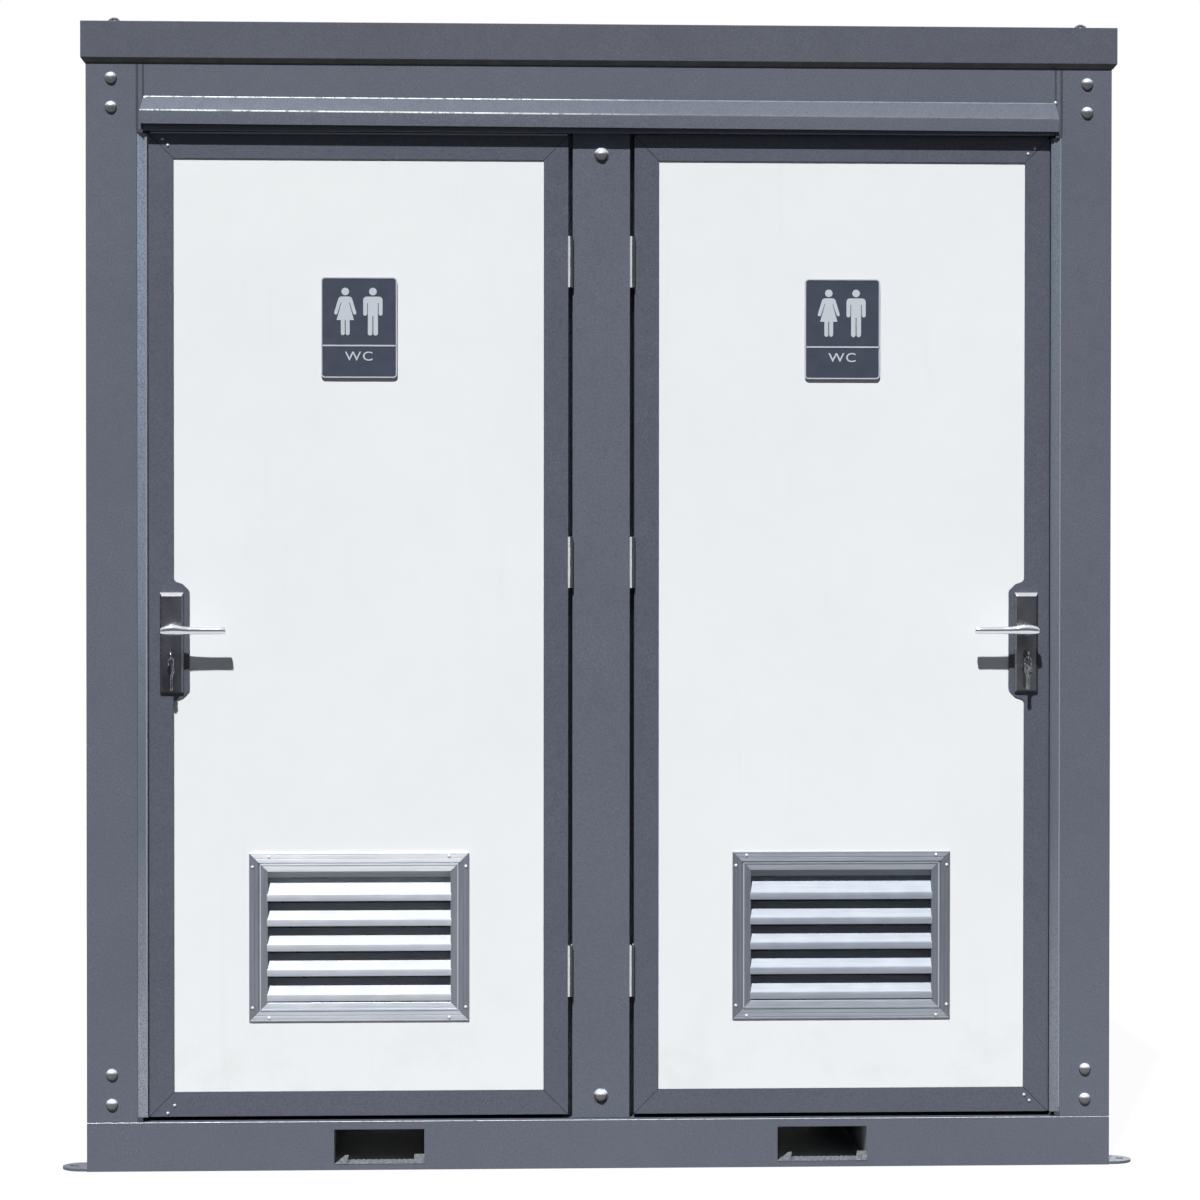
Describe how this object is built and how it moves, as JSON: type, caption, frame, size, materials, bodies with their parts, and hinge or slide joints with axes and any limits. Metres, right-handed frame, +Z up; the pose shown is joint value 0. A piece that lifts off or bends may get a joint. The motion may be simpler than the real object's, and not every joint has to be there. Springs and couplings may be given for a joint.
{
  "type": "portable toilet cabin",
  "caption": "Twin portable toilet cabin: grey steel frame, white panels, two outward doors with louvres and lever locks, fork pockets and fitted cubicles.",
  "frame": {"origin": "centre of the base on the ground", "axes": "+Z up, the doors face -Y, +X to the right seen from the doors"},
  "size_m": [2.2058, 1.385, 2.361],
  "materials": {
    "frame_grey": "semi-gloss powder coat over folded steel",
    "door_lining": "satin paint, light blue-grey",
    "panel_white": "white coated sandwich panel",
    "deck_brown": "film faced plywood with a fine grip pattern",
    "vent_aluminium": "anodised extrusions",
    "lock_chrome": "polished",
    "hinge_steel": "brushed stainless",
    "bolt_steel": "bright dome heads",
    "bolt_core": "machined",
    "sign_plate": "satin plate with light raised figure",
    "ceramic_white": "glazed",
    "seat_white": "moulded",
    "mirror_glass": "polished",
    "lamp_opal": "opal diffuser",
    "fan_plastic": "moulded",
    "pipe_grey": "extruded and moulded",
    "paper": "soft tissue",
    "inlet_blue": "moulded",
    "key_brass": "nickel plated and worn"
  },
  "bodies": {
    "cabin": {"base_frame": "frame_grey", "corner_posts": "frame_grey", "mid_post": "frame_grey", "top_frame": "frame_grey", "canopy": "frame_grey", "roof_cap": "frame_grey", "lifting_eyes": "frame_grey", "frame_bolts": "bolt_steel", "side_walls": "panel_white", "rear_wall": "panel_white", "partition_wall": "panel_white", "ceiling_panel": "panel_white", "floor_deck": "deck_brown", "door_jambs": "door_lining", "post_hinge_leaves": "hinge_steel", "toilet_pans": "ceramic_white", "cisterns": "ceramic_white", "seat_hinges": "lock_chrome", "basins": "ceramic_white", "taps": "lock_chrome", "pipes": "pipe_grey", "mirrors": "mirror_glass", "ceiling_lamps": "lamp_opal", "fan_housings": "fan_plastic", "paper_holders": "lock_chrome", "power_inlet": "inlet_blue"},
    "left_door_leaf": {"left_door_frame": "frame_grey", "left_door_panel": "panel_white", "left_door_vent": "vent_aluminium", "left_door_sign": "sign_plate", "left_lock_body": "lock_chrome", "left_door_hinges": "hinge_steel"},
    "left_lever": {"left_lever": "lock_chrome"},
    "left_latch": {"left_latch": "bolt_core"},
    "left_deadbolt": {"left_deadbolt": "bolt_core"},
    "left_key": {"left_key": "key_brass"},
    "left_key_ring": {"left_key_ring": "key_brass"},
    "left_seat": {"left_seat": "seat_white"},
    "left_lid": {"left_lid": "seat_white"},
    "left_flush_button": {"left_flush_button": "lock_chrome"},
    "left_tap_lever": {"left_tap_lever": "lock_chrome"},
    "left_fan_impeller": {"left_fan_impeller": "fan_plastic"},
    "left_paper_roll": {"left_paper_roll": "paper"},
    "right_door_leaf": {"right_door_frame": "frame_grey", "right_door_panel": "panel_white", "right_door_vent": "vent_aluminium", "right_door_sign": "sign_plate", "right_lock_body": "lock_chrome", "right_door_hinges": "hinge_steel"},
    "right_lever": {"right_lever": "lock_chrome"},
    "right_latch": {"right_latch": "bolt_core"},
    "right_deadbolt": {"right_deadbolt": "bolt_core"},
    "right_key": {"right_key": "key_brass"},
    "right_key_ring": {"right_key_ring": "key_brass"},
    "right_seat": {"right_seat": "seat_white"},
    "right_lid": {"right_lid": "seat_white"},
    "right_flush_button": {"right_flush_button": "lock_chrome"},
    "right_tap_lever": {"right_tap_lever": "lock_chrome"},
    "right_fan_impeller": {"right_fan_impeller": "fan_plastic"},
    "right_paper_roll": {"right_paper_roll": "paper"}
  },
  "joints": [
    {"name": "left_door_hinge", "type": "hinge", "parent": "cabin", "child": "left_door_leaf", "pos_m": [-0.0635, -0.634, 0], "axis": [0, 0, 1], "range_deg": [0, 90]},
    {"name": "left_lever_turn", "type": "hinge", "parent": "left_door_leaf", "child": "left_lever", "pos_m": [-0.878, -0.628, 1.105], "axis": [0, 1, 0], "range_deg": [0, 45], "stiffness_Nm_per_rad": 2, "springref_deg": -17.19},
    {"name": "left_latch_slide", "type": "slide", "parent": "left_door_leaf", "child": "left_latch", "axis": [1, 0, 0], "range_m": [0, 0.012]},
    {"name": "left_key_turn", "type": "hinge", "parent": "left_door_leaf", "child": "left_key", "pos_m": [-0.878, -0.628, 1.053], "axis": [0, 1, 0], "range_deg": [0, 90]},
    {"name": "left_deadbolt_slide", "type": "slide", "parent": "left_door_leaf", "child": "left_deadbolt", "axis": [-1, 0, 0], "range_m": [0, 0.02]},
    {"name": "left_key_ring_swing", "type": "hinge", "parent": "left_key", "child": "left_key_ring", "pos_m": [-0.878, -0.6608, 1.0511], "axis": [1, 0, 0], "range_deg": [-60, 12]},
    {"name": "left_seat_hinge", "type": "hinge", "parent": "cabin", "child": "left_seat", "pos_m": [-0.5065, 0.34, 0.52], "axis": [-1, 0, 0], "range_deg": [0, 94]},
    {"name": "left_lid_hinge", "type": "hinge", "parent": "cabin", "child": "left_lid", "pos_m": [-0.5065, 0.34, 0.52], "axis": [-1, 0, 0], "range_deg": [-97, 0]},
    {"name": "left_flush_press", "type": "slide", "parent": "cabin", "child": "left_flush_button", "axis": [0, 0, -1], "range_m": [0, 0.004], "stiffness_N_per_m": 600, "springref_m": -0.003},
    {"name": "left_tap_turn", "type": "hinge", "parent": "cabin", "child": "left_tap_lever", "pos_m": [-0.958, -0.32, 1.043], "axis": [0, 0, 1], "range_deg": [0, 90]},
    {"name": "left_fan_spin", "type": "hinge", "parent": "cabin", "child": "left_fan_impeller", "pos_m": [-0.5065, 0.6, 2.09], "axis": [0, 1, 0], "continuous": true},
    {"name": "left_paper_roll_spin", "type": "hinge", "parent": "cabin", "child": "left_paper_roll", "pos_m": [-0.095, 0.158, 0.818], "axis": [0, 1, 0], "continuous": true},
    {"name": "right_door_hinge", "type": "hinge", "parent": "cabin", "child": "right_door_leaf", "pos_m": [0.0635, -0.634, 0], "axis": [0, 0, -1], "range_deg": [0, 90]},
    {"name": "right_lever_turn", "type": "hinge", "parent": "right_door_leaf", "child": "right_lever", "pos_m": [0.878, -0.628, 1.105], "axis": [0, -1, 0], "range_deg": [0, 45], "stiffness_Nm_per_rad": 2, "springref_deg": -17.19},
    {"name": "right_latch_slide", "type": "slide", "parent": "right_door_leaf", "child": "right_latch", "axis": [-1, 0, 0], "range_m": [0, 0.012]},
    {"name": "right_key_turn", "type": "hinge", "parent": "right_door_leaf", "child": "right_key", "pos_m": [0.878, -0.628, 1.053], "axis": [0, -1, 0], "range_deg": [0, 90]},
    {"name": "right_deadbolt_slide", "type": "slide", "parent": "right_door_leaf", "child": "right_deadbolt", "axis": [1, 0, 0], "range_m": [0, 0.02]},
    {"name": "right_key_ring_swing", "type": "hinge", "parent": "right_key", "child": "right_key_ring", "pos_m": [0.878, -0.6608, 1.0511], "axis": [1, 0, 0], "range_deg": [-60, 12]},
    {"name": "right_seat_hinge", "type": "hinge", "parent": "cabin", "child": "right_seat", "pos_m": [0.5065, 0.34, 0.52], "axis": [-1, 0, 0], "range_deg": [0, 94]},
    {"name": "right_lid_hinge", "type": "hinge", "parent": "cabin", "child": "right_lid", "pos_m": [0.5065, 0.34, 0.52], "axis": [-1, 0, 0], "range_deg": [-97, 0]},
    {"name": "right_flush_press", "type": "slide", "parent": "cabin", "child": "right_flush_button", "axis": [0, 0, -1], "range_m": [0, 0.004], "stiffness_N_per_m": 600, "springref_m": -0.003},
    {"name": "right_tap_turn", "type": "hinge", "parent": "cabin", "child": "right_tap_lever", "pos_m": [0.958, -0.32, 1.043], "axis": [0, 0, -1], "range_deg": [0, 90]},
    {"name": "right_fan_spin", "type": "hinge", "parent": "cabin", "child": "right_fan_impeller", "pos_m": [0.5065, 0.6, 2.09], "axis": [0, 1, 0], "continuous": true},
    {"name": "right_paper_roll_spin", "type": "hinge", "parent": "cabin", "child": "right_paper_roll", "pos_m": [0.095, 0.158, 0.818], "axis": [0, 1, 0], "continuous": true}
  ],
  "couplings": [
    {"joint": "left_latch_slide", "follows": "left_lever_turn", "m_per_rad": 0.01527},
    {"joint": "left_deadbolt_slide", "follows": "left_key_turn", "m_per_rad": 0.0127},
    {"joint": "right_latch_slide", "follows": "right_lever_turn", "m_per_rad": 0.01527},
    {"joint": "right_deadbolt_slide", "follows": "right_key_turn", "m_per_rad": 0.0127}
  ]
}
